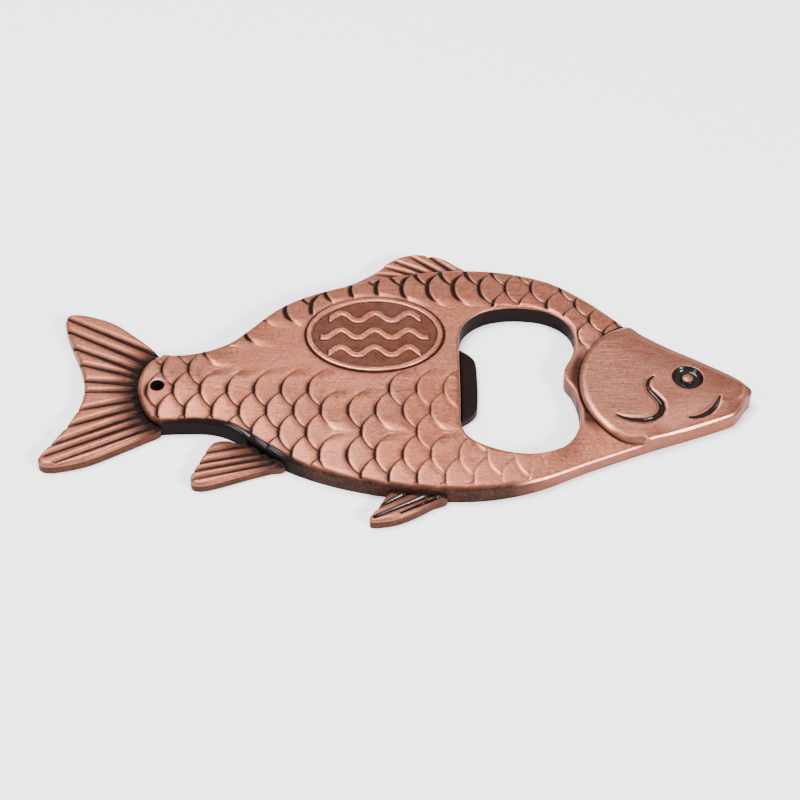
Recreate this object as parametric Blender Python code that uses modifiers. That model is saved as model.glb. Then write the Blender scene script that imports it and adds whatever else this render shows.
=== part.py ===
"""Souvenir bottle opener: a flat fish in antique copper, lying on its side on a table.

The real object is one die casting. Each feature that the casting's relief sets apart by a step
or a sharp line (head, fins, prying lip, eye, medallion) is an object of its own here, so that it
can be restyled or reused.

Outlines are in millimetres on the fish's own axes: +X to the snout, +Y to the back, 0,0 on the
fish's long axis. DATUM is where that 0,0 lies in the row frame, whose origin is the middle of the
underside of the whole object. Objects are in metres, +Z up, with the flat back at 0.
"""

import math

import bmesh
import bpy
from mathutils import Vector

MM = 0.001
DATUM = (-1.1, -4.49)

# Heights above the table, in millimetres
BODY_TOP = 4.0
HEAD_TOP = 4.9
EYE_TOP = 5.0
MEDALLION_FLOOR = 4.35
MEDALLION_TOP = 4.8
TAIL_TOP = 2.8
DORSAL_TOP = 3.0
ANAL_TOP = 2.6
PELVIC_TOP = 2.6
LIP_TOP = 1.9

SEAM = 0.05  # gap under a raised plate
ROOT_GAP = 0.1  # gap between the body's wall and a fin, or the lip
BODY_ROUND = 0.7
PLATE_ROUND = 0.3
FIN_ROUND = 0.5
CURVE_STEPS = 4  # straight segments between two outline points
ROUND_STEPS = 1
SHARP_ANGLE = math.radians(35)

CORNER = "corner"

# The head, from the lower jaw round the snout and up to the nape
JAW = [(50.4, -13.1), (60.0, -9.5), (66.0, -7.1), (68.3, -5.8), (70.6, -2.5)]
SNOUT = [(72.0, -0.4), (71.3, 1.3), (69.6, 3.4), (64.0, 7.2), (56.0, 12.2), (51.3, 15.8), (49.4, 17.9)]
NAPE = [(48.2, 18.4, CORNER)]
BACK = [
    (45.0, 22.0), (40.0, 26.6), (33.0, 31.3), (25.0, 34.0), (17.0, 35.0), (8.0, 34.6),
    (-2.0, 32.7), (-11.0, 30.1), (-18.5, 27.2), (-24.5, 23.4), (-30.5, 17.0), (-34.0, 13.6),
    (-39.0, 11.2), (-44.0, 10.2), (-47.2, 10.4, CORNER),
]
TAIL_ROOT = [(-50.4, 7.6), (-51.75, 2.6), (-50.8, -3.0), (-48.6, -7.0), (-46.4, -8.5, CORNER)]
BELLY = [
    (-42.0, -8.3), (-36.5, -8.5), (-32.0, -10.2), (-26.0, -14.7), (-20.0, -18.5), (-12.0, -21.8),
    (-3.0, -24.1), (7.0, -25.4), (15.0, -25.6), (22.0, -24.7), (29.0, -22.6), (38.0, -18.3),
]
BODY_OUTLINE = JAW + SNOUT + NAPE + BACK + TAIL_ROOT + BELLY

# The opening for a bottle's crown cap: a straight side for the lip, and a bump opposite it
LIP_SIDE = 13.3
OPENING = [
    (LIP_SIDE, 10.0), (LIP_SIDE, 14.0), (14.5, 18.4), (18.0, 21.7), (22.5, 23.1), (27.0, 23.2),
    (32.0, 22.1), (35.8, 19.2), (37.3, 15.0), (36.4, 10.2), (34.8, 6.6), (34.6, 3.9), (36.1, 0.8),
    (37.1, -4.0), (36.7, -9.0), (34.2, -13.6), (30.0, -16.0), (25.0, -16.5), (19.5, -15.2),
    (15.0, -12.5), (LIP_SIDE, -9.0), (LIP_SIDE, -5.0),
]
LIP_ROOT = LIP_SIDE + ROOT_GAP
LIP = [
    (LIP_ROOT, 13.6, CORNER), (15.8, 11.6), (16.8, 9.6), (16.8, -2.6), (15.8, -4.6),
    (LIP_ROOT, -6.6, CORNER),
]
KEYRING_HOLE = (-47.7, 1.1)
KEYRING_RADIUS = 1.3

# The rear edge of the gill cover is an arc of this circle, between two angles in degrees
GILL_CENTRE = (55.85, 1.6)
GILL_RADIUS = 18.45
GILL_ANGLES = (120.0, 230.0)
GILL_POINTS = 9
THROAT = [(47.0, -13.7), (49.9, -13.3, CORNER)]

EYE = (59.3, 2.9)
SOCKET_RADIUS = 2.9
EYE_RADIUS = 1.5

MEDALLION = (-4.0, 15.4)
MEDALLION_RADII = (14.2, 10.6)
MEDALLION_RIM = 1.3
WAVE_ROWS = (4.9, 0.0, -4.9)  # each wave's height about the medallion's middle
WAVE_LENGTH = 7.0
WAVE_RISE = 1.1
WAVE_WIDTH = 1.6
WAVE_MARGIN = 1.6  # from a wave's end to the rim

# Fins. Each outline runs round the free edge, and its last two points lie inside the body.
TAIL = [
    (-47.8, 10.9), (-50.5, 13.8), (-54.0, 17.0), (-58.0, 20.2), (-62.0, 22.1), (-66.4, 23.2),
    (-68.6, 22.7), (-69.0, 21.2), (-68.2, 17.9), (-66.6, 13.9), (-64.6, 9.0), (-63.2, 4.2),
    (-62.8, 0.8), (-63.3, -3.0), (-64.9, -7.3), (-67.4, -12.0), (-69.3, -15.2), (-69.8, -17.0),
    (-68.4, -18.3), (-65.0, -18.1), (-60.0, -16.6), (-54.0, -13.4), (-49.0, -10.5),
    (-46.6, -9.0), (-45.0, -6.0, CORNER), (-45.6, 8.0, CORNER),
]
DORSAL = [
    (15.6, 35.4), (13.2, 37.6), (10.6, 39.6), (7.6, 40.7), (4.4, 41.0), (1.0, 40.1),
    (-1.6, 38.3), (-3.4, 36.0), (-5.8, 34.1), (-8.2, 32.4), (-11.0, 30.6), (-10.0, 27.0, CORNER),
    (16.0, 32.0, CORNER),
]
ANAL = [
    (-29.8, -12.2), (-33.0, -11.6), (-35.4, -12.0), (-36.6, -13.4), (-37.5, -15.6),
    (-38.9, -18.9), (-39.6, -21.2), (-39.0, -22.7), (-37.0, -23.0), (-33.5, -22.0), (-28.0, -20.0),
    (-24.0, -18.7), (-21.4, -18.1), (-20.0, -15.0, CORNER), (-28.0, -9.0, CORNER),
]
PELVIC = [
    (-1.0, -24.8), (-1.8, -26.3), (-3.3, -28.9), (-4.6, -31.0), (-4.3, -31.9), (-2.0, -31.9),
    (1.0, -31.2), (4.5, -29.5), (7.6, -27.5), (10.4, -25.9), (9.0, -22.0, CORNER),
    (0.0, -21.0, CORNER),
]

# Grooves between a fin's rays: first and last groove at the root, the same at the edge, count
TAIL_RAYS = ((-49.6, 10.6), (-49.2, -7.4), (-68.4, 21.4), (-67.6, -17.4), 11)
DORSAL_RAYS = ((12.2, 35.6), (-3.0, 33.2), (7.4, 41.0), (-5.4, 34.2), 6)
ANAL_RAYS = ((-29.8, -13.8), (-25.0, -17.8), (-37.3, -15.8), (-38.6, -21.6), 4)
PELVIC_RAYS = ((1.6, -25.6), (8.2, -26.3), (-3.2, -28.6), (-3.0, -31.2), 3)
GROOVE_RADIUS = 0.5
GROOVE_DEPTH = 0.35
GROOVE_SIDES = 8


def clear_scene():
    for obj in list(bpy.data.objects):
        bpy.data.objects.remove(obj, do_unlink=True)


def collection(name):
    made = bpy.data.collections.new(name)
    bpy.context.scene.collection.children.link(made)
    return made


def metal(name, colour, roughness):
    made = bpy.data.materials.new(name)
    made.use_nodes = True
    shader = made.node_tree.nodes["Principled BSDF"]
    shader.inputs["Base Color"].default_value = (*colour, 1.0)
    shader.inputs["Roughness"].default_value = roughness
    shader.inputs["Metallic"].default_value = 1.0
    made.diffuse_color = (*colour, 1.0)
    return made


def add_loop(curve, points):
    """Adds a closed spline through the points. Its tangent at a point runs parallel to the line
    between that point's neighbours, or straight at each neighbour where the point is a corner."""
    spline = curve.splines.new("BEZIER")
    spline.use_cyclic_u = True
    spline.bezier_points.add(len(points) - 1)
    spline.resolution_u = CURVE_STEPS
    for i, point in enumerate(points):
        before, here, after = (
            Vector((*points[k % len(points)][:2], 0.0)) for k in (i - 1, i, i + 1)
        )
        along = (after - before).normalized()
        arriving = (here - before).normalized() if CORNER in point else along
        leaving = (after - here).normalized() if CORNER in point else along
        knot = spline.bezier_points[i]
        knot.handle_left_type = knot.handle_right_type = "FREE"
        knot.co = here * MM
        knot.handle_left = (here - arriving * (here - before).length / 3) * MM
        knot.handle_right = (here + leaving * (after - here).length / 3) * MM


def ellipse(centre, radii, count):
    turns = [2 * math.pi * i / count for i in range(count)]
    return [(centre[0] + radii[0] * math.cos(a), centre[1] + radii[1] * math.sin(a)) for a in turns]


def circle(centre, radius, count):
    return ellipse(centre, (radius, radius), count)


def curve_mesh(name, loops, half, edge_round, grow):
    """The closed mesh of a filled outline, thickened by half either way, with rounded edges."""
    curve = bpy.data.curves.new(name, "CURVE")
    curve.dimensions = "2D"
    curve.fill_mode = "BOTH"
    curve.extrude = (half - edge_round) * MM
    curve.bevel_depth = edge_round * MM
    curve.offset = (grow - edge_round) * MM
    curve.bevel_resolution = ROUND_STEPS
    for loop in loops:
        add_loop(curve, loop)
    outline = bpy.data.objects.new(name, curve)
    bpy.context.scene.collection.objects.link(outline)
    bpy.context.view_layer.update()
    graph = bpy.context.evaluated_depsgraph_get()
    mesh = bpy.data.meshes.new_from_object(outline.evaluated_get(graph))
    bpy.data.objects.remove(outline)
    return mesh


def plate(name, loops, bottom, top, edge_round, coat=None, grow=0.0):
    """A plate between two heights. Its upper edges are rounded, and its underside is flat and
    sharp-edged: a plate rounded on both faces, with the lower rounding cut away. Without a coat
    it's a helper."""
    low = bottom - 2 * edge_round
    mesh = curve_mesh(name, loops, (top - low) / 2, edge_round, grow)
    form = bmesh.new()
    form.from_mesh(mesh)
    bmesh.ops.remove_doubles(form, verts=form.verts, dist=1e-6)
    if edge_round:
        underside = (0.0, 0.0, (bottom - (top + low) / 2) * MM)
        sliced = bmesh.ops.bisect_plane(
            form, geom=form.verts[:] + form.edges[:] + form.faces[:], dist=1e-7,
            plane_co=underside, plane_no=(0.0, 0.0, 1.0), clear_inner=True,
        )
        rim = [e for e in sliced["geom_cut"] if isinstance(e, bmesh.types.BMEdge)]
        bmesh.ops.triangle_fill(form, edges=rim, use_beauty=True)
    bmesh.ops.recalc_face_normals(form, faces=form.faces)
    form.to_mesh(mesh)
    form.free()
    return place(name, mesh, (top + low) / 2, coat)


def place(name, mesh, height, coat=None):
    """Puts a mesh on the fish's axes at a height: in the opener, or with the helpers if it has
    no coat."""
    mesh.materials.clear()
    made = bpy.data.objects.new(name, mesh)
    made.parent = datum
    made.location.z = height * MM
    if coat is None:
        helpers.objects.link(made)
        made.display_type = "WIRE"
        made.hide_render = True
        return made
    opener.objects.link(made)
    mesh.materials.append(coat)
    mesh.shade_smooth()
    mesh.set_sharp_from_angle(angle=SHARP_ANGLE)
    return made


def combine(target, helper, operation):
    modifier = target.modifiers.new(helper.name, "BOOLEAN")
    modifier.operation = operation
    modifier.object = helper


def rod(name, start, end, height):
    """A helper rod between two points of the plan, with its axis at a height."""
    a = Vector((*start, height))
    b = Vector((*end, height))
    form = bmesh.new()
    bmesh.ops.create_cone(
        form, cap_ends=True, segments=GROOVE_SIDES, radius1=GROOVE_RADIUS * MM,
        radius2=GROOVE_RADIUS * MM, depth=(b - a).length * MM,
    )
    mesh = bpy.data.meshes.new(name)
    form.to_mesh(mesh)
    form.free()
    made = place(name, mesh, 0.0)
    made.location = (a + b) / 2 * MM
    made.rotation_mode = "QUATERNION"
    made.rotation_quaternion = (b - a).to_track_quat("Z", "Y")
    return made


def fin(name, outline, top, rays, coat):
    """A fin: its outline less the body's own, and a fan of grooves from the root to the edge."""
    made = plate(name, [outline], 0.0, top, FIN_ROUND, coat)
    combine(made, body_room, "DIFFERENCE")
    root_first, root_last, edge_first, edge_last, count = rays
    for i in range(count):
        share = i / (count - 1)
        root = Vector(root_first).lerp(Vector(root_last), share)
        edge = Vector(edge_first).lerp(Vector(edge_last), share)
        groove = rod(f"{name}_groove_{i + 1}", root, edge, top + GROOVE_RADIUS - GROOVE_DEPTH)
        combine(made, groove, "DIFFERENCE")
    return made


def gill_arc():
    """The rear edge of the gill cover, from the nape round to the throat."""
    first, last = (math.radians(a) for a in GILL_ANGLES)
    angles = [first + (last - first) * i / (GILL_POINTS - 1) for i in range(GILL_POINTS)]
    x, y = GILL_CENTRE
    return [(x + GILL_RADIUS * math.cos(a), y + GILL_RADIUS * math.sin(a)) for a in angles]


def head_plate(coat):
    """The raised head and gill cover, open at the eye, where the body is the socket's floor."""
    outline = JAW + SNOUT + NAPE + gill_arc() + THROAT
    loops = [outline, circle(EYE, SOCKET_RADIUS, 8)]
    return plate("head_plate", loops, BODY_TOP + SEAM, HEAD_TOP, PLATE_ROUND, coat)


def eye(coat):
    """A low bead on the floor of the socket: a half profile turned about the upright axis."""
    floor = BODY_TOP + SEAM
    rise = EYE_TOP - floor
    steps = 6
    angles = [math.pi / 2 * (1 - i / steps) for i in range(steps + 1)]
    profile = [(EYE_RADIUS * math.cos(a), rise * math.sin(a)) for a in angles] + [(0.0, 0.0)]
    form = bmesh.new()
    points = [form.verts.new((r * MM, 0.0, z * MM)) for r, z in profile]
    for upper, lower in zip(points, points[1:]):
        form.edges.new((upper, lower))
    mesh = bpy.data.meshes.new("eye")
    form.to_mesh(mesh)
    form.free()
    made = place("eye", mesh, floor, coat)
    made.location.x = EYE[0] * MM
    made.location.y = EYE[1] * MM
    turn = made.modifiers.new("turn", "SCREW")
    turn.steps = turn.render_steps = 20
    turn.use_merge_vertices = True
    turn.merge_threshold = 1e-6
    return made


def wave(row):
    """The outline of one wave across the medallion: a band along a sine, with square ends."""
    across, up = (radius - MEDALLION_RIM - WAVE_MARGIN for radius in MEDALLION_RADII)
    reach = across * math.sqrt(1 - (row / (up + WAVE_MARGIN)) ** 2)
    steps = math.ceil(2 * reach / (WAVE_LENGTH / 4))
    line = [-reach + 2 * reach * i / steps for i in range(steps + 1)]
    bands = (WAVE_WIDTH / 2, line), (-WAVE_WIDTH / 2, line[::-1])
    loop = []
    for side, stretch in bands:
        for x in stretch:
            y = row + WAVE_RISE * math.cos(2 * math.pi * x / WAVE_LENGTH) + side
            end = (CORNER,) if abs(x) == reach else ()
            loop.append((MEDALLION[0] + x, MEDALLION[1] + y, *end))
    return loop


def medallion(coat):
    """A plain oval badge with a raised rim and three waves, standing on the smooth flank."""
    rim = ellipse(MEDALLION, MEDALLION_RADII, 16)
    inner = ellipse(MEDALLION, [radius - MEDALLION_RIM for radius in MEDALLION_RADII], 16)
    made = plate("medallion", [rim], BODY_TOP + SEAM, MEDALLION_FLOOR, 0.0, coat)
    buried = (BODY_TOP + MEDALLION_FLOOR) / 2
    ring = plate("medallion_rim", [rim, inner], buried, MEDALLION_TOP, 0.0)
    combine(made, ring, "UNION")
    for i, row in enumerate(WAVE_ROWS):
        band = plate(f"medallion_wave_{i + 1}", [wave(row)], buried, MEDALLION_TOP, 0.0)
        combine(made, band, "UNION")
    return made


clear_scene()
opener = collection("fish_bottle_opener")
helpers = collection("helpers")
datum = bpy.data.objects.new("fish_axes", None)
opener.objects.link(datum)
datum.location = (DATUM[0] * MM, DATUM[1] * MM, 0.0)

copper = metal("antique_copper", (0.58, 0.30, 0.21), 0.38)
dark_copper = metal("dark_patina", (0.10, 0.055, 0.045), 0.42)

keyring = circle(KEYRING_HOLE, KEYRING_RADIUS, 8)
plate("body", [BODY_OUTLINE, OPENING, keyring], 0.0, BODY_TOP, BODY_ROUND, copper)
body_room = plate("body_room", [BODY_OUTLINE], -1.0, BODY_TOP + 1.0, 0.0, grow=ROOT_GAP)
head_plate(copper)
eye(copper)
medallion(copper)
plate("pry_lip", [LIP], 0.0, LIP_TOP, PLATE_ROUND, dark_copper)
fin("tail_fin", TAIL, TAIL_TOP, TAIL_RAYS, copper)
fin("dorsal_fin", DORSAL, DORSAL_TOP, DORSAL_RAYS, copper)
fin("anal_fin", ANAL, ANAL_TOP, ANAL_RAYS, copper)
fin("pelvic_fin", PELVIC, PELVIC_TOP, PELVIC_RAYS, copper)
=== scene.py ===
"""The looks of the fish bottle opener: one casting in antique copper, with its relief polished.

Shapes are worked out in millimetres on the fish's own axes: +X to the snout, +Y to the back, and
z above the table. Each piece is a relief: the outline comes from its CAD node, and a function of
the place gives its height and its patina: 0 is brushed copper, 1 a blackened recess, and 2 one
where the black has pooled and set to a gloss. In places the same value also darkens the copper
as painted shade.
"""

import math

import bpy
import numpy as np
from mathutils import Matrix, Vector
from mathutils.geometry import delaunay_2d_cdt
from mathutils.kdtree import KDTree


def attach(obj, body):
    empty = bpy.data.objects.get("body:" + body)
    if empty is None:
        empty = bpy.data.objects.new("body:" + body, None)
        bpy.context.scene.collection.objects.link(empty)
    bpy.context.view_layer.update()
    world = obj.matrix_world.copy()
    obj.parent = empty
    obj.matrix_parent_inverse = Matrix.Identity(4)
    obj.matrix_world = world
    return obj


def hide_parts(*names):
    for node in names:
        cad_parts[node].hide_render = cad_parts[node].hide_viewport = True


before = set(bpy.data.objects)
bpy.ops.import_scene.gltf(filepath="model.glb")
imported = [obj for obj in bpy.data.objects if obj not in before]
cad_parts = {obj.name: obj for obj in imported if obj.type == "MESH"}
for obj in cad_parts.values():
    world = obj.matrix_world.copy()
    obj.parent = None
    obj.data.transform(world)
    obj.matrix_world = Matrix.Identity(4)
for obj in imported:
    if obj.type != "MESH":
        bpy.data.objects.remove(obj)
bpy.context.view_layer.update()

MM = 0.001
FISH_AXES = np.array((-1.1, -4.49))  # where the fish's 0,0 lies in the row frame
INSET = 0.03  # keeps the smoothed outlines inside the CAD box
OUTLINE_STEP = 0.3
CORNER_TURN = math.radians(33)
CREASE = math.radians(78)  # a fold sharper than this stays sharp when shaded
ON_EDGE = 0.2  # a point this near to the fish's outline lies on it

# Heights above the table
EDGE_TOP = 4.0  # the flank at its edges
CREST_TOP = 4.45  # the flank in its middle
UNDER_HEAD = 3.45  # the body where the head covers it
HEAD_FLOOR = 3.3
HEAD_TOP = 4.9
SOCKET_FLOOR = 3.85
BADGE_BED = 4.25  # the body where the badge covers it
BADGE_FLOOR = 4.1
BADGE_FIELD = 4.36  # the badge's face between its waves
LIP_TOP = 1.9

# Scales: spacing along the fish, spacing of the rows, and how far a scale stands up
SCALE_LENGTH = 5.43
ROW_PITCH = 5.75
NAPE_PITCH = 4.4
NAPE_ROW = 5.0  # at the nape, the rows below this one stand closer together
SCALE_RISE = 0.34
SCALE_SHOULDER = 0.15
SCALE_START = (1.9, 0.1)  # the rearmost point of one scale
SCALE_SWEEP = 1.07  # radius of a scale's round edge, in scale lengths
SCALE_ROUNDNESS = 0.97  # below 1, so that a scale's edge doesn't end at right angles to its row

HEAD_MIDDLE = 55.0  # along the fish
DRAWN_IN = 0.99
EYE = (59.3, 2.9)
SOCKET_RADIUS = 3.1
BEAD_RADIUS = 1.5
BEAD_HEIGHT = 1.05
MEDALLION = (-4.0, 15.4)
MEDALLION_RADII = (14.2, 10.6)
WAVE_ROWS = (4.9, 0.0, -4.9)
WAVE_LENGTH = 7.0
WAVE_RISE = 1.1

# Grooves of the fins, from root to edge: x and y of both ends, half width, patina
TAIL_GROOVES = [
    (-48.7, 11.2, -68.9, 21.9, 0.52, 0.9), (-50.8, 9.0, -68.0, 18.1, 0.52, 0.9),
    (-52.2, 6.7, -66.4, 13.4, 0.52, 0.9), (-52.4, 5.2, -64.7, 8.8, 0.55, 0.85),
    (-52.3, 3.2, -63.1, 4.1, 0.6, 0.85), (-52.2, 1.2, -62.7, 1.1, 0.42, 0.85),
    (-51.6, -0.9, -63.2, -3.8, 0.5, 0.85), (-51.0, -2.8, -65.4, -8.4, 0.55, 0.85),
    (-50.3, -4.8, -67.4, -13.0, 0.55, 0.85), (-49.2, -6.6, -68.4, -15.8, 0.55, 0.85),
    (-47.6, -8.2, -66.2, -17.5, 0.42, 0.85),
]
DORSAL_GROOVES = [
    (12.2, 35.9, 7.2, 40.6, 0.42, 0.9), (9.3, 35.6, 3.8, 40.0, 0.42, 0.9),
    (6.5, 35.3, 0.0, 38.8, 0.4, 0.9), (3.8, 34.7, -2.0, 37.0, 0.38, 0.9),
    (0.8, 34.0, -3.8, 34.8, 0.35, 0.8),
]
ANAL_GROOVES = [
    (-28.5, -12.9, -36.8, -14.9, 0.42, 0.85), (-26.0, -14.7, -38.0, -17.5, 0.5, 0.85),
    (-24.5, -16.0, -38.8, -19.5, 0.5, 0.85), (-24.0, -17.6, -38.8, -21.5, 0.42, 0.8),
]
PELVIC_GROOVES = [
    (3.4, -24.6, -3.4, -28.9, 0.38, 2.0), (7.6, -25.2, -3.6, -31.0, 0.4, 2.0),
    (9.0, -26.0, 1.5, -30.0, 0.22, 1.8),
]
# Curved grooves of the head, from end to end
CHEEK_GROOVE = [
    (52.3, 3.1), (51.3, 2.1), (50.95, 0.8), (51.3, -0.6), (52.4, -2.2), (53.3, -3.8), (53.4, -5.4),
    (52.8, -6.8), (51.4, -7.9), (49.4, -8.5), (47.2, -8.4), (45.4, -7.9), (44.2, -7.2),
]
MOUTH_GROOVE = [
    (65.3, -2.0), (64.8, -3.3), (63.9, -4.8), (62.7, -6.0), (61.2, -6.9), (59.8, -7.4),
    (58.6, -7.5),
]
LIP_CREASE = [(70.6, 0.9), (69.6, -0.9), (68.6, -2.6)]
# Each one's half width and depth
HEAD_GROOVES = [(CHEEK_GROOVE, 0.62, 0.8), (MOUTH_GROOVE, 0.5, 0.55), (LIP_CREASE, 0.3, 0.16)]

# The line above which the forehead slopes away: a point on it, and its normal
BROW = (47.5, 15.4)
BROW_NORMAL = (0.513, 0.858)
JAW_END = -0.6  # the jaw's chamfer ends at this height on the snout
CHAMFER = (0.38, 0.36)  # width and depth of the jaw's and belly's chamfer


# ---- numbers -------------------------------------------------------------------------------


def ramp(value, start, end):
    """Smoothly from 0 at start to 1 at end."""
    t = np.clip((value - start) / (end - start), 0.0, 1.0)
    return t * t * (3 - 2 * t)


def bump(distance, width):
    """A bell: 1 at no distance, and nearly nothing past twice the width."""
    return np.exp(-((distance / width) ** 2))


def rounded_edge(depth, width, fall):
    """How far a rounded edge lies below the face, at a depth inside the outline."""
    t = 1 - np.clip(depth / width, 0.0, 1.0)
    return fall * (1 - np.sqrt(np.clip(1 - t * t, 0.0, 1.0)))


def chamfered_edge(depth, width, fall):
    """How far a chamfered edge lies below the face, at a depth inside the outline."""
    return fall * (1 - np.clip(depth / width, 0.0, 1.0))


def shoulder(distance, reach):
    """From 1 at an edge down to 0 at a reach from it, levelling out."""
    return (1 - np.clip(distance / reach, 0, 1)) ** 2


class Nearest:
    """Distances from many places to the nearest of a set of points in the plan."""

    def __init__(self, points):
        self.tree = KDTree(len(points))
        for i, point in enumerate(points):
            self.tree.insert((point[0], point[1], 0.0), i)
        self.tree.balance()

    def distance(self, x, y):
        return np.array([self.tree.find((a, b, 0.0))[2] for a, b in zip(x.tolist(), y.tolist())])


def along_path(x, y, path):
    """Distance from each place to a path, and where along the path that is, from 0 to 1."""
    path = np.array(path, float)
    best = np.full(len(x), 1e9)
    share = np.zeros(len(x))
    lengths = np.hypot(*(path[1:] - path[:-1]).T)
    run = np.concatenate([[0], np.cumsum(lengths)])
    for i, (a, b) in enumerate(zip(path[:-1], path[1:])):
        step = b - a
        t = np.clip(((x - a[0]) * step[0] + (y - a[1]) * step[1]) / (step @ step), 0, 1)
        d = np.hypot(x - a[0] - t * step[0], y - a[1] - t * step[1])
        closer = d < best
        best[closer] = d[closer]
        share[closer] = (run[i] + t[closer] * lengths[i]) / run[-1]
    return best, share


# ---- outlines ------------------------------------------------------------------------------


def base_loops(node):
    """The closed outlines of a CAD node's underside, the longest first, on the fish's axes."""
    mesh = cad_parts[node].data
    points = np.array([v.co for v in mesh.vertices]) / MM
    _, first, same = np.unique(np.round(points, 3), axis=0, return_index=True, return_inverse=True)
    points, same = points[first], same.reshape(-1)
    mesh.calc_loop_triangles()
    faces = same[np.array([t.vertices[:] for t in mesh.loop_triangles])]
    level = points[:, 2].min() + 0.01
    faces = faces[(points[faces][:, :, 2] < level).all(axis=1)]
    edges = {(int(f[i]), int(f[(i + 1) % 3])) for f in faces for i in range(3)}
    following = {a: b for a, b in edges if (b, a) not in edges}
    loops = []
    while following:
        start, here = following.popitem()
        loop = [start]
        while here != start:
            loop.append(here)
            here = following.pop(here)
        loops.append(points[loop][:, :2] - FISH_AXES)
    return sorted(loops, key=lambda loop: -abs(signed_area(loop)))


def signed_area(loop):
    """Positive for an anticlockwise loop."""
    x, y = loop.T
    return 0.5 * float(np.sum(x * np.roll(y, -1) - np.roll(x, -1) * y))


def smooth_loop(points, step=OUTLINE_STEP):
    """A curve through the points with even steps, sharp only where the outline turns sharply."""
    before = points - np.roll(points, 1, 0)
    after = np.roll(points, -1, 0) - points
    into = before / np.hypot(*before.T)[:, None]
    out_of = after / np.hypot(*after.T)[:, None]
    lengths = np.hypot(*after.T)
    along = into + out_of
    along /= np.hypot(*along.T)[:, None]
    corner = (into * out_of).sum(1) < math.cos(CORNER_TURN)
    leaving = np.where(corner[:, None], out_of, along)
    arriving = np.where(corner[:, None], into, along)
    made = []
    for i, length in enumerate(lengths):
        k = (i + 1) % len(points)
        steps = max(1, round(length / step))
        t = np.arange(steps)[:, None] / steps
        made.append(
            (2 * t**3 - 3 * t**2 + 1) * points[i] + (t**3 - 2 * t**2 + t) * length * leaving[i]
            + (3 * t**2 - 2 * t**3) * points[k] + (t**3 - t**2) * length * arriving[k]
        )
    return np.concatenate(made)


def normals_of(loop):
    """Unit normals to the left of the loop's direction, which is inside the metal."""
    along = np.roll(loop, -1, 0) - np.roll(loop, 1, 0)
    along /= np.hypot(*along.T)[:, None]
    return np.stack([-along[:, 1], along[:, 0]], axis=1)


def node_outline(node):
    """Smoothed loops of a node, the outer one anticlockwise and holes clockwise."""
    loops = []
    for i, loop in enumerate(base_loops(node)):
        loop = smooth_loop(loop)
        if (signed_area(loop) > 0) != (i == 0):
            loop = loop[::-1]
        loops.append(loop + normals_of(loop) * INSET)
    return loops


def inside(x, y, loops):
    """True where a place is in the outer loop and in none of the holes."""
    crossings = np.zeros(len(x), int)
    for loop in loops:
        for (ax, ay), (bx, by) in zip(loop, np.roll(loop, -1, 0)):
            spans = (ay > y) != (by > y)
            if spans.any():
                reach = ax + (y[spans] - ay) * (bx - ax) / (by - ay)
                crossings[np.flatnonzero(spans)[x[spans] < reach]] += 1
    return crossings % 2 == 1


# ---- relief meshes -------------------------------------------------------------------------

# How deep inside an outline the rings of points lie that follow it
RING_DEPTHS = (0.06, 0.16, 0.3, 0.48, 0.7, 0.95)
WALL_START = 0.06  # how far below the relief's edge its upright wall starts


def hexagonal(loops, pitch):
    """Places of an even triangular net over the outline's box."""
    low = loops[0].min(0)
    high = loops[0].max(0)
    places = []
    for i, y in enumerate(np.arange(low[1], high[1], pitch * math.sqrt(0.75))):
        x = np.arange(low[0] + (i % 2) * pitch / 2, high[0], pitch)
        places.append(np.stack([x, np.full_like(x, y)], axis=1))
    return np.concatenate(places)


def spread(points, cell):
    """Leaves out points that share a small cell with an earlier one."""
    keys = np.round(points / cell).astype(int)
    _, first = np.unique(keys, axis=0, return_index=True)
    return points[np.sort(first)]


def plan_points(loops, pitch, features):
    """The points inside an outline: rings along its edges, along features, and a net between."""
    edge = Nearest(np.concatenate(loops))
    kept = []
    for depth in RING_DEPTHS:
        for loop in loops:
            ring = loop + normals_of(loop) * depth
            ring = ring[inside(ring[:, 0], ring[:, 1], loops)]
            kept.append(ring[edge.distance(*ring.T) > 0.94 * depth])
    taken = [spread(np.concatenate(kept), 0.1)]
    inner = RING_DEPTHS[-1]
    net = hexagonal(loops, pitch)
    net = net[inside(net[:, 0], net[:, 1], loops)]
    net = net[edge.distance(*net.T) > inner + 0.45 * pitch]
    if len(features):
        features = features[inside(features[:, 0], features[:, 1], loops)]
        features = features[edge.distance(*features.T) > inner + 0.12]
        features = spread(features, 0.13)
        net = net[Nearest(features).distance(*net.T) > 0.6 * pitch]
        taken.append(features)
    return np.concatenate([*taken, net])


def triangulate(points, loops):
    """Triangles between the points, within the loops, whose own points come first."""
    sizes = [len(loop) for loop in loops]
    edges = []
    start = 0
    for size in sizes:
        edges += [(start + i, start + (i + 1) % size) for i in range(size)]
        start += size
    found = delaunay_2d_cdt([Vector(p) for p in points], edges, [], 0, 1e-6, False)
    verts = np.array([v[:] for v in found[0]])
    faces = np.array(found[2])
    if len(verts) != len(points):
        raise ValueError("outline crosses itself")
    rim = (faces < start).all(axis=1)
    centres = verts[faces[rim]].mean(axis=1)
    keep = np.ones(len(faces), bool)
    keep[np.flatnonzero(rim)] = inside(centres[:, 0], centres[:, 1], loops)
    return faces[keep]


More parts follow.
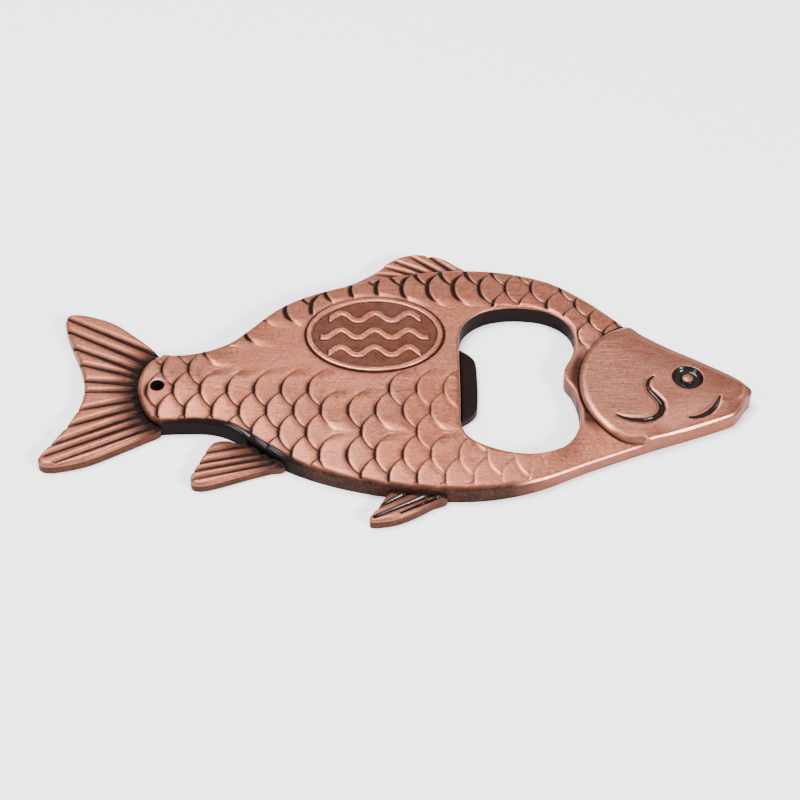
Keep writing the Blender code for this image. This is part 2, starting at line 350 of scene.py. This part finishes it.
def relief(name, loops, surface, bottom, wall_patina, pitch=0.45, features=(), crisp=False):
    """A closed piece: a relief on top, upright walls and a flat underside. surface(x, y, depth)
    gives the height and the patina at places that lie that deep inside the outline."""
    border = np.concatenate(loops)
    features = np.array(features, float).reshape(-1, 2)
    points = np.concatenate([border, plan_points(loops, pitch, features)])
    top_faces = triangulate(points, loops)
    x, y = points.T
    depth = Nearest(border).distance(x, y)
    z, patina = surface(x, y, depth)
    count = len(border)
    total = len(points)
    walls = []
    wall_dark = wall_patina(*border.T)
    heights = (z[:count] - WALL_START, (z[:count] + bottom) / 2, np.full(count, bottom))
    levels = [np.column_stack([border, height]) for height in heights]
    verts = np.concatenate([np.column_stack([x, y, z]), *levels])
    dark = np.concatenate([patina, wall_dark, wall_dark, wall_dark])
    faces = top_faces.tolist()
    start = 0
    for loop in loops:
        ring = start + np.arange(len(loop))
        following = np.roll(ring, -1)
        upper = 0
        for level in range(len(levels)):
            lower = total + level * count
            walls += np.column_stack(
                [lower + ring, lower + following, upper + following, upper + ring]
            ).tolist()
            upper = lower
        start += len(loop)
    underside = triangulate(border, loops)[:, ::-1] + total + 2 * count
    faces += walls + underside.tolist()
    return finish_mesh(name, verts, faces, dark, count if crisp else 0)


def finish_mesh(name, verts, faces, patina, border=0):
    """An object from points on the fish's axes, with its patina as an attribute."""
    mesh = bpy.data.meshes.new(name)
    verts = np.array(verts, float)
    verts[:, :2] += FISH_AXES
    mesh.from_pydata((verts * MM).tolist(), [], faces)
    mesh.update()
    mesh.attributes.new("patina", "FLOAT", "POINT").data.foreach_set(
        "value", np.clip(patina, 0, 2).astype(np.float32)
    )
    mesh.shade_smooth()
    mesh.set_sharp_from_angle(angle=CREASE)
    ends = np.array([edge.vertices[:] for edge in mesh.edges])
    for i in np.flatnonzero((ends < border).all(axis=1)):
        mesh.edges[i].use_edge_sharp = True
    made = bpy.data.objects.new(name, mesh)
    bpy.context.scene.collection.objects.link(made)
    return made


# ---- scales --------------------------------------------------------------------------------


def nape_stretch(x):
    """How far the nape's scales are moved towards the head."""
    return 0.9 * ramp(x, 29, 36)


def to_lattice(x, y):
    """Scale coordinates: u counts scales towards the head, v counts rows towards the back."""
    u = (x - nape_stretch(x) - SCALE_START[0]) / SCALE_LENGTH
    v = (y - SCALE_START[1]) / ROW_PITCH
    above = y - (SCALE_START[1] + NAPE_ROW * ROW_PITCH)
    nape = NAPE_ROW + above / NAPE_PITCH
    return u, v + (nape - v) * ramp(x, 30, 35) * (above < 0)


def from_lattice(u, v):
    """The place of a pair of scale coordinates, found by repeated correction."""
    x = u * SCALE_LENGTH + SCALE_START[0]
    y = v * ROW_PITCH + SCALE_START[1]
    for _ in range(12):
        found_u, found_v = to_lattice(x, y)
        x = x + (u - found_u) * SCALE_LENGTH
        y = y + (v - found_v) * NAPE_PITCH
    return x, y


def roundness(across):
    """The cosine of a scale's edge, 1 at its rearmost point, at a row coordinate."""
    return np.sqrt(1 - np.minimum(SCALE_ROUNDNESS * across**2, SCALE_ROUNDNESS))


def sweep(across):
    """How far forward a scale's round edge has turned, in scale lengths, at a row coordinate."""
    return SCALE_SWEEP * (1 - roundness(across))


def scale_shown(first, row):
    """True for the scales that exist: a band along the flank, the throat, the tail's root and
    a few gaps in the belly's rows are smooth."""
    x = first * SCALE_LENGTH + SCALE_START[0]
    y = row * ROW_PITCH + SCALE_START[1]
    band_top = np.minimum(9.3 + 0.6 * (x + 39.3), 25.3)
    band_top = np.where(x > 18, 19.3, band_top)
    band_top = np.where(x > 31, 9.3, band_top)
    band_foot = np.where(x < -39, 8.3, 3.3)
    band_foot = np.where((x > -15) & (x < -3), -1.7, band_foot)
    scaled = (y > band_top) | (y < band_foot)
    throat = (x > 31) & (y < 9.3)
    tail_root = (x < -51) & (np.abs(y) < 8)
    from_gap = np.round((x + 11.7) / SCALE_LENGTH)
    gap = (row == -2) & (x > -14) & (from_gap % 2 == 0) | (row == -4) & (from_gap == 0)
    return scaled & ~throat & ~tail_root & ~gap


def scale_fade(first, row, across):
    """Lets a scale's edge die away on the side where no other scale meets it."""
    meets = scale_shown(first + 0.5, row + np.sign(across))
    return np.where(meets, 1.0, 1 - ramp(np.abs(across), 0.5, 1.0))


def scales(x, y):
    """The scales' rise, and their patina with painted shade. Each lies over the one behind it, so
    it's highest along its rounded rear edge, and falls towards the head."""
    u, v = to_lattice(x, y)
    low = np.floor(v)
    start = np.full(len(x), -1e9)
    back = np.ones(len(x))
    strength = np.zeros(len(x))
    found = []
    for row in (low, low + 1):
        offset = np.where(row % 2 == 0, 0.5, 0.0)
        across = v - row
        t = u - offset - sweep(across)
        first = np.floor(t)
        place = first + offset
        shown = scale_shown(place, row)
        on_top = (place > start) & shown
        start = np.where(on_top, place, start)
        back = np.where(on_top, t - first, back)
        strength = np.where(on_top, scale_fade(place, row, across), strength)
        found.append((row, across, place, t - first))
    dark = np.zeros(len(x))
    fall = np.zeros(len(x))
    for row, across, place, t in found:
        gap = (1 - t) * SCALE_LENGTH * roundness(across)
        shown = scale_shown(place + 1, row) & (place + 1 > start)
        strong = shown * scale_fade(place + 1, row, across)
        high = ramp(y, 8, 12) * (1 - ramp(x, 12, 26))
        tip = 1 - ramp(np.abs(across) - 0.3 * high, 0.1, 0.6)
        wide = (0.32 + 0.3 * tip) * (1 + 0.8 * high)
        # Each step gets a narrow line of patina in its recess, and a wide soft band of painted
        # shade in the hollow before it.
        line = (0.7 + 0.3 * tip) * bump(gap, wide)
        dark = np.maximum(dark, strong * np.maximum(line, (0.34 + 0.26 * tip) * bump(gap, 1.3)))
        fall = np.maximum(fall, strong * bump(gap, 0.6))
    rise = SCALE_RISE * (1 - back) ** 1.2 - SCALE_SHOULDER * np.exp(-back * SCALE_LENGTH / 0.3)
    worn = 1 - (0.6 * ramp(x, 0, 26) + 0.4 * ramp(x, 25, 31)) * (y < 3)
    worn_dark = 1 - 0.6 * ramp(x, -8, 24) * (y < 6)
    return worn * (strength * rise - 0.1 * fall), worn_dark * dark


def scale_edges():
    """Points on either side of each scale's rear edge, so that the mesh follows its step."""
    made = []
    across = np.sin(np.linspace(-1.35, 1.35, 49))
    for row in range(-6, 8):
        offset = 0.5 if row % 2 == 0 else 0.0
        for first in range(-12, 10):
            if not scale_shown(np.array([first + offset]), np.array([row]))[0]:
                continue
            x, y = from_lattice(first + offset + sweep(across), row + across)
            line = np.stack([x, y], axis=1)
            along = np.gradient(line, axis=0)
            along /= np.hypot(*along.T)[:, None]
            side = np.stack([along[:, 1], -along[:, 0]], axis=1)
            made += [line + side * shift for shift in (-0.4, -0.07, 0.07, 0.25, 0.5)]
    return np.concatenate(made)


# ---- the pieces' surfaces ------------------------------------------------------------------

body_loops = node_outline("body")
fish_edge = Nearest(body_loops[0])
opening_edge = Nearest(body_loops[1])
hole_edge = Nearest(body_loops[2])
head_loops = [node_outline("head_plate")[0]]
gill_line = head_loops[0][fish_edge.distance(*head_loops[0].T) > ON_EDGE]
gill_edge = Nearest(gill_line)


def badge_depth(x, y):
    """Distance inside the medallion's outline, and negative outside."""
    across = x - MEDALLION[0]
    up = y - MEDALLION[1]
    ratio = np.hypot(across / MEDALLION_RADII[0], up / MEDALLION_RADII[1])
    slope = np.hypot(across / MEDALLION_RADII[0] ** 2, up / MEDALLION_RADII[1] ** 2)
    return (1 - ratio) * ratio / np.maximum(slope, 1e-6)


def clear_of_head(x, y):
    """Distance from the gill's edge, and negative under the head. Places are drawn in a little
    towards the head's middle, so that those on the fish's outline count as under it."""
    drawn_x = HEAD_MIDDLE + DRAWN_IN * (x - HEAD_MIDDLE)
    covered = inside(drawn_x, DRAWN_IN * y, head_loops)
    return gill_edge.distance(x, y) * np.where(covered, -1, 1)


def belly_side(y):
    """1 on the belly's side of the fish and 0 on the back's."""
    return 1 - ramp(y, -6, 6)


def flank_dome(x, y, outer):
    """The height of the flank without its scales, thinner towards the head."""
    belly = belly_side(y)
    edge = EDGE_TOP - 1.0 * ramp(x, 16, 42) * belly - 0.5 * ramp(x, 32, 46) * (1 - belly)
    crest = CREST_TOP - 1.0 * ramp(x, 30, 38) * (1 - 0.6 * ramp(y, 12, 20))
    return edge + (crest - edge) * (1 - shoulder(outer, 12))


def badge_shade(badge):
    """Patina beside the badge's rim, and fainter farther out."""
    outside = np.minimum(badge, 0)
    return np.maximum(0.95 * bump(outside, 0.5), 0.3 * bump(outside, 2.0))


def head_shade(y, opening, clear):
    """Painted shadow with patina at the foot of the gill's edge, below the head's step, and a
    darker band in the ring round the head, weaker at the nape.
    """
    foot = (0.3 + 0.5 * ramp(y, -13, -3)) * bump(np.maximum(clear, 0), 0.6)
    ring = (1 - ramp(clear, 1.2, 3.8)) * ramp(y, -14, -7) * ramp(opening, 0.3, 1.0)
    return np.maximum(foot, 0.58 * ring * (1 - 0.6 * ramp(y, 8, 14)))


def belly_shade(x, y, outer):
    """Darker along the belly's edge, strongest beside the anal fin."""
    strength = 0.6 + 0.35 * (1 - ramp(x, -24, -16)) * ramp(x, -50, -34)
    width = 1.8 + 0.2 * (1 - ramp(np.abs(x + 28), 4, 9))
    return strength * (1 - ramp(outer, 0, width)) * (1 - ramp(y, -2, 6))


def pooled_black(x, y, outer):
    """The glossy black that has gathered at the anal fin's root."""
    return 0.8 * bump(outer - 0.6, 0.4) * (1 - ramp(np.abs(x + 27), 4, 8)) * (y < 0)


def body_surface(x, y, depth):
    """The flank: a low dome with scales and a bed for the badge, and with rounded edges."""
    outer = fish_edge.distance(x, y)
    opening = opening_edge.distance(x, y)
    hole = hole_edge.distance(x, y)
    badge = badge_depth(x, y)
    clear = clear_of_head(x, y)
    chamfered = ramp(x, 22, 28) * belly_side(y)

    rise, dark = scales(x, y)
    inland = ramp(outer, 0.1, 0.8 + 0.7 * ramp(y, 0, 12))
    beside_opening = ramp(opening, 0.2, 0.9)
    beside_badge = 1 - ramp(badge, -1.6, -0.3)
    rise = rise * inland * beside_opening * beside_badge
    dark = dark * (inland + 0.7 * (1 - inland) * (y > 0)) * beside_opening * beside_badge

    z = flank_dome(x, y, outer) + rise
    z = np.where(badge > 0.2, BADGE_BED, z - 0.08 * bump(badge, 0.5))
    belly_round = 0.8 + 0.3 * belly_side(y)
    z = z - (1 - chamfered) * rounded_edge(outer, belly_round, 0.7) * (clear >= 0)
    z = z - chamfered * chamfered_edge(outer, *CHAMFER) * (clear >= 0)
    z = z - rounded_edge(opening, 0.5, 0.4) - rounded_edge(hole, 0.3, 0.25)
    z = np.where(clear < -0.3, UNDER_HEAD, z)

    dark = np.maximum(dark, badge_shade(badge))
    dark = np.maximum(dark, head_shade(y, opening, clear))
    dark = np.maximum(dark, (0.13 + 0.07 * ramp(y, 0, 8)) * ramp(x, -42, -26))
    dark = np.maximum(dark, belly_shade(x, y, outer) * (1 - chamfered))
    dark = dark + pooled_black(x, y, outer)
    dark = np.maximum(dark, 0.8 * (1 - ramp(hole, 0, 0.25)))
    return z, dark


def body_walls(x, y):
    """Blackened, except on the bump in the opening and along the throat, where the wall is lighter
    as painted light; darker towards the tail.
    """
    outer = fish_edge.distance(x, y) < ON_EDGE
    # Painted light: the outer wall along the throat and jaw is left lighter, as if lit.
    painted_lit = ramp(x, 20, 34) * (1 - ramp(y, -3, 7))
    tail = 1 - ramp(x, -28, -14)
    bump_side = (x > 33) * (1 - ramp(np.abs(y - 2), 3, 6))
    return np.where(outer, 0.6 + 0.4 * tail - 0.26 * painted_lit, 1 - 0.55 * bump_side)


def head_form(x, y, outline, gill, brow):
    """The height of the head: flat, falling to the forehead, the snout and the jaw."""
    z = HEAD_TOP - 0.4 * shoulder(outline, 8) - 0.2 * ramp(x, 60, 72)
    z = z - 0.17 * np.maximum(brow, 0) - 0.12 * ramp(brow, -0.6, 0.3)
    z = z - 0.7 * shoulder(outline, 6) * (1 - ramp(y, -5, -1)) * ramp(gill, 0, 7)
    z = z - rounded_edge(gill, 1.4, 0.75)
    jaw = chamfered_edge(outline, *CHAMFER)
    return z - np.where(y < JAW_END, jaw, rounded_edge(outline, 0.5, 0.4))


def head_surface(x, y, depth):
    """The head and gill cover, with the grooves of cheek, mouth and lip and the eye's socket."""
    outline = fish_edge.distance(x, y)
    gill = gill_edge.distance(x, y)
    brow = (x - BROW[0]) * BROW_NORMAL[0] + (y - BROW[1]) * BROW_NORMAL[1]
    z = head_form(x, y, outline, gill, brow)
    dark = np.zeros(len(x))
    for path, width, fall in HEAD_GROOVES:
        distance, share = along_path(x, y, path)
        taper = np.sin(np.pi * (0.06 + 0.88 * share)) ** 1.1
        wide = width * (0.45 + 0.55 * taper)
        z = z - fall * taper * bump(distance, wide * 0.9)
        full = np.sin(np.pi * (0.15 + 0.7 * share))
        dark = np.maximum(dark, min(2.2, 4 * fall) * full * bump(distance, wide * 0.8))
    ring = np.hypot(x - EYE[0], y - EYE[1])
    z = z - 1.0 * (1 - ramp(ring, SOCKET_RADIUS - 0.75, SOCKET_RADIUS + 0.15))
    dark = np.maximum(dark, 2 * (1 - ramp(ring, SOCKET_RADIUS - 0.3, SOCKET_RADIUS + 0.25)))
    dark = np.maximum(dark, 0.35 * bump(gill, 0.3))
    # Painted shade: the gill's rounded rim near the throat is darkened where it faces away from
    # the light.
    dark = np.maximum(dark, 0.45 * (1 - ramp(gill, 0.7, 1.5)) * (1 - ramp(y, -12, -9)))
    # Painted shade on the sloping brow facet.
    dark = np.maximum(dark, 0.2 * ramp(brow, -1.2, 0.4))
    return z, dark


def head_walls(x, y):
    """Darker along the gill than along the fish's outline, and darker towards the back: the walls
    on the belly's side are left lighter as painted light.
    """
    along_gill = fish_edge.distance(x, y) > ON_EDGE
    return np.where(along_gill, 0.55 + 0.2 * ramp(y, -4, 8), 0.34 + 0.16 * ramp(y, -3, 7))


def fin_surface(top, grooves, fall, edge_round, black, patina_and_root_shade):
    """A fin's face: rays left standing between its grooves."""

    def surface(x, y, depth):
        z = np.full(len(x), top)
        dark = np.zeros(len(x))
        for x0, y0, x1, y1, half_width, patina in grooves:
            distance, share = along_path(x, y, [(x0, y0), (x1, y1)])
            half = half_width * (1.15 - 0.4 * share)
            z = z - fall * bump(distance, half * 1.15) * (1 - 0.25 * share)
            dark = np.maximum(dark, patina * bump(distance, half * 1.2) * (1 - 0.2 * share))
        z = z - rounded_edge(depth, edge_round, edge_round * 0.9)
        root = fish_edge.distance(x, y)
        # Painted shade beside the body's wall, reaching as far as black, and a patina that painted
        # shade deepens towards the root.
        dark = np.maximum(dark, 0.9 * bump(np.maximum(root - 0.3, 0), black))
        dark = np.maximum(dark, patina_and_root_shade * (1 - 0.57 * ramp(root, 0, 8)))
        return z, dark

    return surface


def plain_walls(x, y):
    """Half blackened all round."""
    return np.full(len(x), 0.54)


def rooted(loops, reach=0.5):
    """A fin's outline with its root edge pushed into the body, so that no gap shows."""
    (loop,) = loops
    near = fish_edge.distance(*loop.T) < 0.3
    moved = loop.copy()
    inward = normals_of(body_loops[0])
    for i in np.flatnonzero(near):
        _, index, _ = fish_edge.tree.find((*loop[i], 0.0))
        moved[i] = body_loops[0][index] + inward[index] * reach
    keep = np.hypot(*(moved - np.roll(moved, 1, 0)).T) > 0.05
    return [moved[keep]]


def wave(across, up, row):
    """The rise of one raised wave of the badge, at a place about the badge's middle."""
    reach = math.sqrt(1 - (row / 9.3) ** 2) * 11.3
    turn = 2 * np.pi / WAVE_LENGTH
    line = row + WAVE_RISE * np.cos(turn * across)
    slope = WAVE_RISE * turn * np.sin(turn * across)
    away = np.abs(up - line) / np.sqrt(1 + slope**2)
    away = np.maximum(away, np.abs(across) - reach + 0.8)
    return 1 - ramp(away, 0.55, 0.92)


def medallion_surface(x, y, depth):
    """A darkened field inside a raised rim, with three raised waves."""
    rise = 1 - ramp(depth, 1.1, 1.45)
    for row in WAVE_ROWS:
        rise = np.maximum(rise, wave(x - MEDALLION[0], y - MEDALLION[1], row))
    foot = np.clip(1 - np.abs(2 * np.clip(rise, 0, 1) - 0.7), 0, 1)
    dark = 0.42 * (1 - ramp(rise, 0.3, 0.95)) + 0.35 * foot * (rise < 0.9)
    z = BADGE_FIELD + 0.43 * rise - rounded_edge(depth, 0.3, 0.25)
    return z, dark


def lip_surface(x, y, depth):
    """Level and blackened, with a rounded edge."""
    return LIP_TOP - rounded_edge(depth, 0.4, 0.35), np.full(len(x), 0.97)


# ---- materials -----------------------------------------------------------------------------

COPPER_COLOUR = (0.4, 0.138, 0.085)
POLISHED_COLOUR = (0.42, 0.157, 0.104)
PATINA_COLOUR = (0.007, 0.004, 0.0035)

# How often each pattern repeats in a metre, along the fish, across it and upwards
BRUSHING = (150, 2500, 2500)
GRAIN = (1700, 2100, 2100)
MOTTLING = (420, 520, 500)
CLOUDS = (130, 160, 130)

GRAIN_DEPTH = 0.00003


class Nodes:
    """The nodes of a material. A value is a number, a colour or another node's output."""

    def __init__(self, name):
        self.material = bpy.data.materials.new(name)
        self.material.use_nodes = True
        self.tree = self.material.node_tree
        self.shader = self.tree.nodes["Principled BSDF"].inputs
        self.place = self.new("TexCoord").outputs["Object"]

    def new(self, kind):
        return self.tree.nodes.new("ShaderNode" + kind)

    def give(self, socket, value):
        """Sets a socket to a value."""
        if isinstance(value, bpy.types.NodeSocket):
            self.tree.links.new(value, socket)
        elif isinstance(value, tuple):
            socket.default_value = (*value, 1.0)
        else:
            socket.default_value = value

    def noise(self, scales, detail, roughness, low, high):
        """Noise stretched so that it runs from 0 to 1 between a low and a high value."""
        mapping = self.new("Mapping")
        mapping.inputs["Scale"].default_value = scales
        self.give(mapping.inputs["Vector"], self.place)
        texture = self.new("TexNoise")
        texture.inputs["Scale"].default_value = 1.0
        texture.inputs["Detail"].default_value = detail
        texture.inputs["Roughness"].default_value = roughness
        self.give(texture.inputs["Vector"], mapping.outputs["Vector"])
        return self.between(texture.outputs["Fac"], low, high)

    def between(self, value, low, high, smooth=False):
        """0 at the low value and below, and 1 at the high one and above."""
        node = self.new("MapRange")
        if smooth:
            node.interpolation_type = "SMOOTHSTEP"
        node.inputs["From Min"].default_value = low
        node.inputs["From Max"].default_value = high
        self.give(node.inputs["Value"], value)
        return node.outputs["Result"]

    def math(self, operation, *values):
        node = self.new("Math")
        node.operation = operation
        for socket, value in zip(node.inputs, values):
            self.give(socket, value)
        return node.outputs["Value"]

    def scaled(self, value, factor, offset):
        """value * factor + offset"""
        return self.math("MULTIPLY_ADD", value, factor, offset)

    def mix(self, factor, first, second):
        """The first colour where the factor is 0, and the second where it is 1."""
        node = self.new("Mix")
        node.data_type = "RGBA"
        self.give(node.inputs["Factor"], factor)
        self.give(node.inputs["A"], first)
        self.give(node.inputs["B"], second)
        return node.outputs["Result"]


def blackened_coat(nodes, patina, grain, mottling, dull):
    """How far the black coat is left, speckled where it is half worn away."""
    left = nodes.math("MULTIPLY", patina, nodes.scaled(grain, 0.16, 0.92))
    left = nodes.scaled(mottling, 0.1, left)
    left = nodes.math("SUBTRACT", left, 0.04)
    return nodes.between(left, -0.02 - dull, 0.72 - dull, smooth=True)


def bare_copper(nodes, colour, brushing, grain, mottling, coarse):
    """The copper's colour, lighter and darker along the brushing and from grain to grain."""
    value = nodes.scaled(brushing, 0.3 * coarse, 0.95 - 0.65 * coarse)
    value = nodes.scaled(grain, coarse, value)
    value = nodes.scaled(mottling, 0.12, value)
    clouds = nodes.noise(CLOUDS, 4.0, 0.6, 0.3, 0.7)
    tinted = nodes.new("HueSaturation")
    nodes.give(tinted.inputs["Color"], colour)
    nodes.give(tinted.inputs["Saturation"], nodes.scaled(clouds, 0.1, 0.95))
    nodes.give(tinted.inputs["Value"], value)
    return tinted.outputs["Color"]


def brushed_bumps(nodes, brushing, grain):
    """The surface's normal, roughened by the brushing and the grain."""
    height = nodes.scaled(brushing, 0.5, nodes.math("MULTIPLY", grain, 0.5))
    bumps = nodes.new("Bump")
    bumps.inputs["Strength"].default_value = 0.5
    bumps.inputs["Distance"].default_value = GRAIN_DEPTH
    nodes.give(bumps.inputs["Height"], height)
    return bumps.outputs["Normal"]


def antique_copper(name, colour=COPPER_COLOUR, dull=0.0, coarse=0.55):
    """Brushed copper over a blackened coat. The patina attribute says where the coat is left, and
    in places it also carries painted shade.
    """
    nodes = Nodes(name)
    shader = nodes.shader
    shader["Specular IOR Level"].default_value = 0.03
    shader["Coat Roughness"].default_value = 0.12
    attribute = nodes.new("Attribute")
    attribute.attribute_name = "patina"
    patina = attribute.outputs["Fac"]
    brushing = nodes.noise(BRUSHING, 4.0, 0.7, 0.35, 0.65)
    grain = nodes.noise(GRAIN, 3.0, 0.75, 0.35, 0.65)
    mottling = nodes.noise(MOTTLING, 6.0, 0.72, 0.3, 0.7)
    coat = blackened_coat(nodes, patina, grain, mottling, dull)
    bare = bare_copper(nodes, colour, brushing, grain, mottling, coarse)
    nodes.give(shader["Base Color"], nodes.mix(coat, bare, PATINA_COLOUR))
    nodes.give(shader["Metallic"], nodes.math("SUBTRACT", 1.0, coat))
    pooled = nodes.between(patina, 1.0, 2.0)
    nodes.give(shader["Coat Weight"], nodes.math("MULTIPLY", pooled, 0.8))
    rough = nodes.scaled(brushing, 0.1, 0.28)
    rough = nodes.scaled(grain, 0.06, rough)
    nodes.give(shader["Roughness"], nodes.scaled(coat, 0.1, rough))
    nodes.give(shader["Normal"], brushed_bumps(nodes, brushing, grain))
    return nodes.material


# ---- the pieces ----------------------------------------------------------------------------

# Top of each fin, its grooves and their depth, the rounding of its edge, how far the painted shade
# reaches from its root, and the patina over the rest of it, which painted shade deepens towards
# the root
FINS = {
    "tail_fin": (2.75, TAIL_GROOVES, 0.8, 1.0, 1.6, 0.65),
    "dorsal_fin": (2.95, DORSAL_GROOVES, 0.7, 0.6, 0.3, 0.32),
    "anal_fin": (2.55, ANAL_GROOVES, 0.75, 1.0, 1.3, 0.62),
    "pelvic_fin": (2.55, PELVIC_GROOVES, 0.8, 0.8, 0.9, 0.55),
}

copper = antique_copper("antique_copper")
polished_copper = antique_copper("polished_copper", POLISHED_COLOUR, coarse=0.28)
dark_copper = antique_copper("dark_patina", dull=0.1)


def fit(piece, node, material):
    """Puts a piece in its CAD node's place."""
    piece.data.materials.append(material)
    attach(piece, "root")
    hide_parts(node)


def make_body():
    """The flank plate with the whole fish's outline, the opening and the key-ring hole."""
    piece = relief(
        "fish_body", body_loops, body_surface, 0.0, body_walls, features=scale_edges(), crisp=True
    )
    fit(piece, "body", copper)


def make_head():
    """The head and gill cover, lying on the body."""
    piece = relief(
        "fish_head", head_loops, head_surface, HEAD_FLOOR, head_walls, pitch=0.26, crisp=True
    )
    fit(piece, "head_plate", polished_copper)


def make_fin(node, shape):
    """A fin, thinner than the body and rooted in its wall."""
    outline = rooted(node_outline(node))
    piece = relief(f"fish_{node}", outline, fin_surface(*shape), 0.0, plain_walls, pitch=0.24)
    fit(piece, node, copper)


def make_badge():
    """The oval badge on the smooth part of the flank."""
    outline = node_outline("medallion")
    piece = relief(
        "flank_badge", outline, medallion_surface, BADGE_FLOOR, plain_walls, pitch=0.18
    )
    fit(piece, "medallion", copper)


def make_lip():
    """The thin lip that hooks under a crown cap."""
    piece = relief("cap_lip", node_outline("pry_lip"), lip_surface, 0.0, plain_walls, pitch=0.5)
    fit(piece, "pry_lip", dark_copper)


def bead_mesh(rings=24, turns=64):
    """Points and faces of a dome on the socket's floor, closed by a flat foot."""
    angles = np.linspace(0, math.pi / 2, rings)
    radii = BEAD_RADIUS * np.cos(angles)
    heights = BEAD_HEIGHT * np.sin(angles)
    around = 2 * np.pi * np.arange(turns) / turns
    verts = []
    for r, h in zip(radii[:-1], heights[:-1]):
        verts += [(EYE[0] + r * math.cos(a), EYE[1] + r * math.sin(a), SOCKET_FLOOR + h)
                  for a in around]
    verts.append((*EYE, SOCKET_FLOOR + BEAD_HEIGHT))
    top = len(verts) - 1
    last = top - turns
    faces = []
    for start in range(0, last, turns):
        for i in range(turns):
            k = (i + 1) % turns
            faces.append((start + i, start + k, start + turns + k, start + turns + i))
    faces += [(last + i, last + (i + 1) % turns, top) for i in range(turns)]
    faces.append(tuple(range(turns))[::-1])
    return verts, faces


def make_eye():
    """The bead, brushed bare on its dome and glossy black round its foot."""
    verts, faces = bead_mesh()
    height = np.array(verts)[:, 2] - SOCKET_FLOOR
    patina = 0.25 + 1.6 * (1 - ramp(height, 0.3, 0.85))
    fit(finish_mesh("eye_bead", verts, faces, patina), "eye", copper)


# ---- floor, light and camera ---------------------------------------------------------------

FLOOR_SIZE = 3.0
FLOOR_COLOUR = (0.93, 0.93, 0.93, 1.0)
SKY_COLOUR = (0.95, 0.97, 1.0, 1.0)
SKY_STRENGTH = 0.42

# Each softbox's place and size in metres, and its power in watts
SOFTBOXES = {
    "overhead_softbox": ((-0.18, 0.12, 0.8), (0.6, 0.45), 20.0),
    "front_softbox": ((0.64, -0.53, 0.46), (0.2, 0.15), 18.0),
    "side_softbox": ((-0.6, -0.4, 0.5), (0.3, 0.3), 2.5),
}

CAMERA_PLACE = (1.21, -245.2, 273.2)
CAMERA_TILT = math.radians(42.03)  # from straight down
CAMERA_LENS = 81.45
SENSOR_WIDTH = 36.0


def stage_floor():
    """A plain pale floor."""
    bpy.ops.mesh.primitive_plane_add(size=FLOOR_SIZE)
    floor = bpy.context.active_object
    floor.name = "studio_floor"
    material = bpy.data.materials.new("studio_floor")
    material.use_nodes = True
    shader = material.node_tree.nodes["Principled BSDF"].inputs
    shader["Base Color"].default_value = FLOOR_COLOUR
    shader["Roughness"].default_value = 0.9
    shader["Specular IOR Level"].default_value = 0.1
    floor.data.materials.append(material)


def sky():
    """An even light from all sides."""
    world = bpy.data.worlds.new("studio")
    bpy.context.scene.world = world
    world.use_nodes = True
    background = world.node_tree.nodes["Background"].inputs
    background["Color"].default_value = SKY_COLOUR
    background["Strength"].default_value = SKY_STRENGTH


def softbox(name, place, size, power):
    """A rectangular light that faces the fish."""
    light = bpy.data.lights.new(name, "AREA")
    light.shape = "RECTANGLE"
    light.size, light.size_y = size
    light.energy = power
    made = bpy.data.objects.new(name, light)
    bpy.context.scene.collection.objects.link(made)
    made.location = place
    made.rotation_euler = (-Vector(place)).to_track_quat("-Z", "Y").to_euler()


def camera():
    """Looks down on the belly's side of the fish."""
    data = bpy.data.cameras.new("camera")
    data.sensor_width = SENSOR_WIDTH
    data.lens = CAMERA_LENS
    data.clip_start = 0.01
    made = bpy.data.objects.new("camera", data)
    bpy.context.scene.collection.objects.link(made)
    x, y, z = CAMERA_PLACE
    made.location = ((x + FISH_AXES[0]) * MM, (y + FISH_AXES[1]) * MM, z * MM)
    made.rotation_euler = (CAMERA_TILT, 0.0, 0.0)
    bpy.context.scene.camera = made


make_body()
make_head()
for node, shape in FINS.items():
    make_fin(node, shape)
make_badge()
make_lip()
make_eye()

stage_floor()
sky()
for name, setting in SOFTBOXES.items():
    softbox(name, *setting)
camera()
